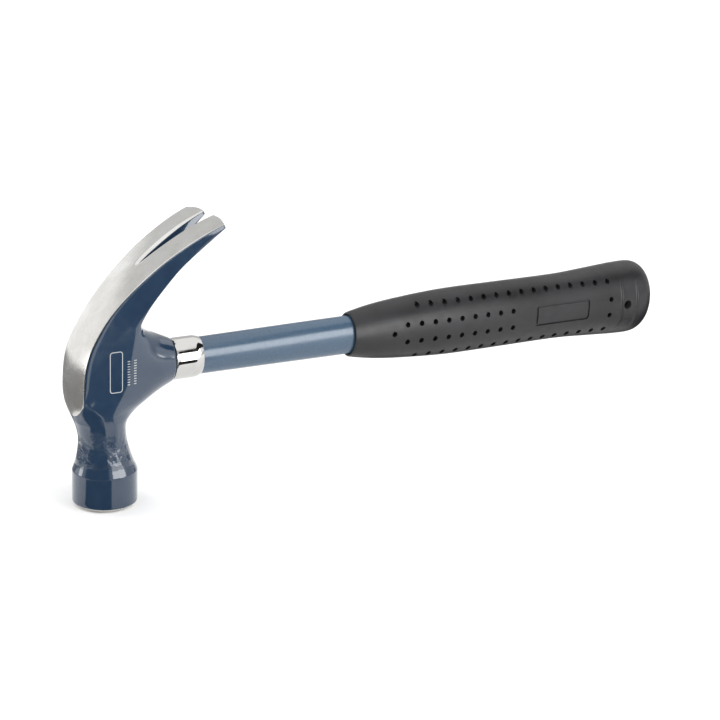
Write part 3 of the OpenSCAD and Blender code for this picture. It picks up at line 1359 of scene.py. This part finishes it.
    def panel_cutter(self, bm: BMesh, side: Side) -> None:
        """Adds the cutter of one side's plain panel line.

        Args:
            bm: The cutters' mesh.
            side: The side of the grip.
        """
        left, right, low, high = self.panel
        tool = bmesh.new()
        bmesh.ops.create_grid(tool, x_segments=1, y_segments=1, size=0.5)
        bmesh.ops.scale(tool, vec=(right - left, high - low, 1), verts=tool.verts[:])
        centre = ((left + right) / 2, (low + high) / 2 + AXIS_Z, 0)
        bmesh.ops.translate(tool, vec=centre, verts=tool.verts[:])
        bmesh.ops.bevel(
            tool, geom=tool.verts[:], offset=self.panel_corner, offset_type="OFFSET",
            affect="VERTICES", segments=4, profile=0.5, material=-1,
        )
        sides = [e for e in tool.edges if e.calc_length() > 2 * self.panel_corner]
        bmesh.ops.subdivide_edges(tool, edges=sides, cuts=self.panel_cuts)
        bmesh.ops.inset_region(
            tool, faces=tool.faces[:], thickness=self.panel_line, use_boundary=True,
            use_even_offset=True,
        )
        middle = max(tool.faces, key=lambda f: f.calc_area())
        bmesh.ops.delete(tool, geom=[middle], context="FACES_ONLY")
        floor = tool.verts[:]
        made = bmesh.ops.extrude_face_region(tool, geom=tool.faces[:])["geom"]
        raised = {v for v in made if isinstance(v, BMVert)}
        for vertex in [*floor, *raised]:
            x, z = vertex.co.x, vertex.co.y
            off = self.panel_clear if vertex in raised else -self.panel_depth
            vertex.co = place(x, side.value * (self.skin_at(x, z) + off), z)
        bmesh.ops.recalc_face_normals(tool, faces=tool.faces[:])
        pour(tool, bm)

    def build(self) -> Thing:
        """Cuts the holes and the panel line and puts on the rubber.

        Returns:
            The grip.
        """
        thing = self.shell()
        bm = bmesh.new()
        self.hole_cutters(bm)
        for side in Side:
            self.panel_cutter(bm, side)
        cutters = finish_mesh(bm, "grip_cutters", merge=1e-7)
        cut = thing.modifiers.new("holes", "BOOLEAN")
        cut.operation = "DIFFERENCE"
        cut.solver = "EXACT"
        cut.object = cutters
        bake_modifiers(thing)
        bpy.data.objects.remove(cutters)
        thing.data.set_sharp_from_angle(angle=math.radians(self.sharp_turn))
        thing.data.materials.append(Rubber().build())
        return thing


# --- the room ---


@dataclass
class Camera:
    """The camera, placed by its turn, lift and distance from a point."""

    target: Triple = (134.28, 0.0, 49.75)
    turn: float = 32.67
    lift: float = 17.89
    roll: float = 2.65
    distance: float = 832.03
    lens: float = 85.5
    sensor: float = 36.0
    clip: Pair = (0.01, 50.0)

    def build(self) -> None:
        """Makes the camera and gives it to the scene."""
        turn, lift, roll = (math.radians(d) for d in (self.turn, self.lift, self.roll))
        flat_share = math.cos(lift)
        back = Vector(
            (-math.sin(turn) * flat_share, -math.cos(turn) * flat_share, math.sin(lift))
        )
        right = Vector((math.cos(turn), -math.sin(turn), 0.0))
        above = back.cross(right)
        across = right * math.cos(roll) + above * math.sin(roll)
        upward = above * math.cos(roll) - right * math.sin(roll)
        data = bpy.data.cameras.new("camera")
        data.lens = self.lens
        data.sensor_width = self.sensor
        data.clip_start, data.clip_end = self.clip
        thing = bpy.data.objects.new("camera", data)
        bpy.context.scene.collection.objects.link(thing)
        pose = Matrix((across, upward, back)).transposed().to_4x4()
        pose.translation = place(*self.target) + back * self.distance * MM
        thing.matrix_world = pose
        bpy.context.scene.camera = thing


@dataclass(frozen=True)
class SoftLight:
    """A soft area light that shines on things but is not mirrored in them."""

    name: str
    centre: Triple
    towards: Triple
    size: Pair
    power: float

    def build(self) -> None:
        """Makes the light."""
        data = bpy.data.lights.new(self.name, "AREA")
        data.shape = "RECTANGLE"
        data.size, data.size_y = self.size
        data.energy = self.power
        thing = bpy.data.objects.new(self.name, data)
        bpy.context.scene.collection.objects.link(thing)
        centre = Vector(self.centre)
        away = centre - Vector(self.towards)
        pose = away.to_track_quat("Z", "Y").to_matrix().to_4x4()
        pose.translation = centre
        thing.matrix_world = pose
        thing.visible_camera = False
        thing.visible_glossy = False


@dataclass(frozen=True)
class Card:
    """A flat card that is seen only in reflections.

    Attributes:
        name: Its name.
        glow: How bright it looks, from 0 for black.
        corners: Its corners in order.
    """

    name: str
    glow: float
    corners: tuple[Triple, ...]

    def build(self) -> None:
        """Makes the card."""
        bm = bmesh.new()
        verts = [bm.verts.new(place(*corner)) for corner in self.corners]
        bmesh.ops.contextual_create(bm, geom=verts)
        thing = finish_mesh(bm, self.name)
        material = bpy.data.materials.new(self.name)
        material.use_nodes = True
        nodes = material.node_tree.nodes
        nodes.clear()
        glow = nodes.new("ShaderNodeEmission")
        glow.inputs["Strength"].default_value = self.glow
        output = nodes.new("ShaderNodeOutputMaterial")
        material.node_tree.links.new(glow.outputs[0], output.inputs[0])
        thing.data.materials.append(material)
        for kind in ("camera", "diffuse", "shadow", "transmission"):
            setattr(thing, f"visible_{kind}", False)


def flat(name: str, glow: float, z: float, *corners: Pair) -> Card:
    """Makes a level card from its corners' X and Y."""
    return Card(name, glow, tuple((x, y, z) for x, y in corners))


def upright(name: str, glow: float, y: float, *corners: Pair) -> Card:
    """Makes a card that stands across Y from its corners' X and Z."""
    return Card(name, glow, tuple((x, y, z) for x, z in corners))


def slanted(
    name: str, glow: float, left: Triple, right: Triple, low: float = 1
) -> Card:
    """Makes a card that stands from low to its two upper corners."""
    return Card(name, glow, ((*left[:2], low), (*right[:2], low), right, left))


@dataclass
class Studio:
    """The pale floor, the pale surroundings, the soft lights and the cards."""

    floor_size: float = 12.0
    sky: float = 0.75
    lights: tuple[SoftLight, ...] = (
        SoftLight(
            "window_light", (0.56, -0.80, 0.47), (0.04, 0.0, 0.064), (0.70, 0.74), 4.4
        ),
        SoftLight("overhead_light", (0.3, 0.2, 1.6), (0.3, 0.2, 0.0), (8, 8), 100.0),
        SoftLight("left_light", (-0.8, 0.74, 0.38), (0.0, 0.0, 0.08), (0.95, 0.9), 4.2),
    )
    cards: tuple[Card, ...] = (
        upright(
            "window", 6.2, -250, (145, 4), (236, 50), (340, 90), (340, 236), (260, 200),
            (190, 152), (163, 156), (20, 120), (20, 55), (145, 55),
        ),
        upright(
            "window_tail", 1.3, -250, (340, 90), (700, 190), (700, 330), (340, 236)
        ),
        upright(
            "window_frame", BLACK, -252, (140, 150), (340, 236), (700, 330), (700, 400),
            (340, 300), (140, 205),
        ),
        flat(
            "cheek_flag", BLACK, CARD_LIFT, (-15, -80), (45, -80), (75, -120),
            (112, -140), (128, -165), (145, -200), (172, -232), (172, -275),
            (142, -280), (95, -262), (70, -225), (40, -160), (0, -115), (-15, -100),
        ),
        flat(
            "bell_flag", BLACK, CARD_LIFT, (-3, -16), (-3, -54), (-30, -50), (-52, -28),
            (-54, -6), (-20, -6),
        ),
        flat(
            "front_floor", BLACK, CARD_LIFT, (-120, -10), (-60, -95), (-14, -118),
            (-70, -500), (-560, 40),
        ),
        flat(
            "near_floor", 0.35, CARD_LIFT, (-120, -10), (-60, -95), (-14, -118),
            (-3, -54), (-30, -50), (-52, -28), (-54, -6),
        ),
        slanted("front_flag", BLACK, (-560, 40, 420), (-70, -500, 420)),
        flat(
            "foot_flag", 0.30, CARD_LIFT, (-60, 70), (60, 70), (60, 400), (-60, 430),
            (-300, 420), (-640, 560), (-700, 300), (-600, 50), (-110, 20),
        ),
        flat("grip_flag", 0.30, CARD_LIFT, (160, 6), (350, 6), (350, 90), (160, 90)),
        flat(
            "butt_flag", BLACK, CARD_LIFT, (330, -60), (900, -120), (900, 420),
            (420, 420), (350, 90),
        ),
        slanted("left_card", 1.3, (-1000, 550, 800), (100, 1210, 520)),
        slanted("glint", 5.0, (-960, 330, 260), (-820, 570, 260), low=20),
        flat(
            "overhead_card", 1.3, 1200, (-1500, -1500), (2500, -1500), (2500, 800),
            (-1500, 800),
        ),
        flat(
            "dark_wedge", 0.02, 500, (420, -760), (345, -300), (430, -120), (1300, -60),
            (1300, -450), (700, -450), (560, -760),
        ),
    )

    def build(self) -> None:
        """Makes the floor, the world, the lights and the cards."""
        scene = bpy.context.scene
        scene.view_settings.view_transform = "Standard"
        world = bpy.data.worlds.new("studio")
        world.use_nodes = True
        sky = world.node_tree.nodes["Background"]
        sky.inputs["Color"].default_value = (1.0, 1.0, 1.0, 1.0)
        sky.inputs["Strength"].default_value = self.sky
        scene.world = world
        bm = bmesh.new()
        bmesh.ops.create_grid(bm, x_segments=1, y_segments=1, size=self.floor_size / 2)
        floor = finish_mesh(bm, "floor")
        mix = Mix("floor_paper")
        mix.dress(
            Base_Color=(0.93, 0.93, 0.93, 1.0), Roughness=0.9, Specular_IOR_Level=0.0
        )
        floor.data.materials.append(mix.material)
        for part in (*self.lights, *self.cards):
            part.build()


def replace(thing: Thing, node: str) -> None:
    """Lets a piece stand for a CAD node and reports it.

    Args:
        thing: The finished piece.
        node: The CAD node that it hides.
    """
    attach(thing, BODY)
    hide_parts(node)
    log.info("%s stands for %s: %d faces", thing.name, node, len(thing.data.polygons))


def dress_plugs() -> None:
    """Gives the two plugs inside the tube their finishes."""
    finishes = {
        "lock_plug": PlugFinish(
            "plug_steel", (0.30, 0.29, 0.28, 1.0), (0.45, 0.44, 0.42, 1.0), 1.0, 0.35
        ),
        "tail_plug": PlugFinish(
            "plug_plastic", (0.02, 0.02, 0.02, 1.0), (0.04, 0.04, 0.04, 1.0), 0.0, 0.5
        ),
    }
    for node, finish in finishes.items():
        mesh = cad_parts[node].data
        mesh.materials.clear()
        mesh.materials.append(finish.build())
        log.info("%s keeps its CAD shape", node)


def main() -> None:
    """Builds the camera and the room, then every piece in order."""
    logging.basicConfig(level=logging.INFO, format="%(message)s")
    Camera().build()
    Studio().build()
    replace(Head().build(), "head")
    replace(Tube().build(), "shaft_tube")
    replace(Ferrule().build(), "ferrule")
    replace(Grip().build(), "grip")
    dress_plugs()


if __name__ == "__main__":
    main()
